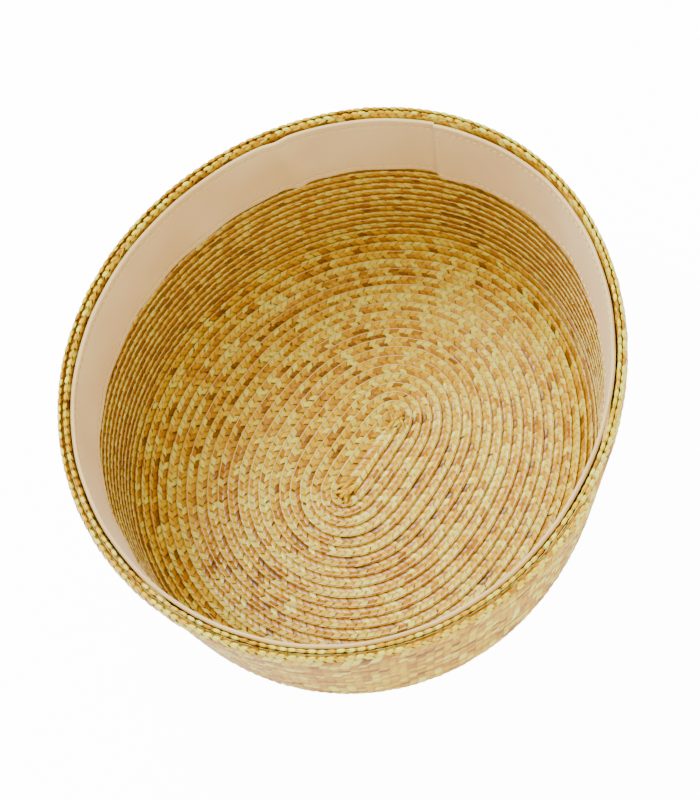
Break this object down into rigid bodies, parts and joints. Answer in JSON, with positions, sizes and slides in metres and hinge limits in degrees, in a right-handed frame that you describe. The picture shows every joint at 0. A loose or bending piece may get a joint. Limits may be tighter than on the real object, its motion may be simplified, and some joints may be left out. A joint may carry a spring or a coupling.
{
  "type": "brimless straw hat",
  "caption": "Brimless straw hat sewn from one spiral wheat-straw braid, with a flat oval tip, a gently tapered side wall and a stitched cotton sweatband.",
  "frame": {"origin": "middle of the crown tip, on the surface that the upturned hat lies on", "axes": "+Z points out of the head opening, so -Z is up when the hat is worn; +Y points to the back of the head, where the sweatband is joined; +X points to the left ear of the wearer"},
  "size_m": [0.1866, 0.2016, 0.0995],
  "materials": {
    "wheat_straw": "satin",
    "gathered_straw": "satin",
    "seam_thread": "matte",
    "sweatband_cotton": "matte",
    "sweatband_edge": "matte",
    "sweatband_thread": "matte"
  },
  "bodies": {
    "root": {"braid_start": "wheat_straw", "braid_turn_01": "wheat_straw", "braid_turn_02": "wheat_straw", "braid_turn_03": "wheat_straw", "braid_turn_04": "wheat_straw", "braid_turn_05": "wheat_straw", "braid_turn_06": "wheat_straw", "braid_turn_07": "wheat_straw", "braid_turn_08": "wheat_straw", "braid_turn_09": "wheat_straw", "braid_turn_10": "wheat_straw", "braid_turn_11": "wheat_straw", "braid_turn_12": "wheat_straw", "braid_turn_13": "wheat_straw", "braid_turn_14": "wheat_straw", "braid_turn_15": "wheat_straw", "braid_turn_16": "wheat_straw", "braid_turn_17": "wheat_straw", "braid_turn_18": "wheat_straw", "braid_turn_19": "wheat_straw", "braid_turn_20": "wheat_straw", "braid_turn_21": "wheat_straw", "braid_turn_22": "wheat_straw", "braid_turn_23": "wheat_straw", "braid_turn_24": "wheat_straw", "braid_turn_25": "wheat_straw", "braid_turn_26": "wheat_straw", "braid_turn_27": "wheat_straw", "braid_turn_28": "wheat_straw", "braid_turn_29": "wheat_straw", "braid_turn_30": "wheat_straw", "braid_turn_31": "wheat_straw", "braid_turn_32": "wheat_straw", "braid_turn_33": "wheat_straw", "braid_turn_34": "wheat_straw", "braid_turn_35": "wheat_straw", "braid_turn_36": "wheat_straw", "braid_turn_37": "wheat_straw", "braid_turn_38": "wheat_straw", "braid_turn_39": "wheat_straw", "braid_turn_40": "wheat_straw", "braid_turn_41": "wheat_straw", "braid_turn_42": "wheat_straw", "gathered_straws_back": "gathered_straw", "gathered_straws_front": "gathered_straw", "rim_facing_braid": "wheat_straw", "seam_thread_side": "seam_thread", "seam_thread_tip": "seam_thread", "sweatband_edge_roll": "sweatband_edge", "sweatband_face": "sweatband_cotton", "sweatband_hem_stitches": "sweatband_thread", "sweatband_join_stitches": "sweatband_thread", "sweatband_lining": "sweatband_cotton", "sweatband_top_stitches": "sweatband_thread"}
  },
  "joints": []
}
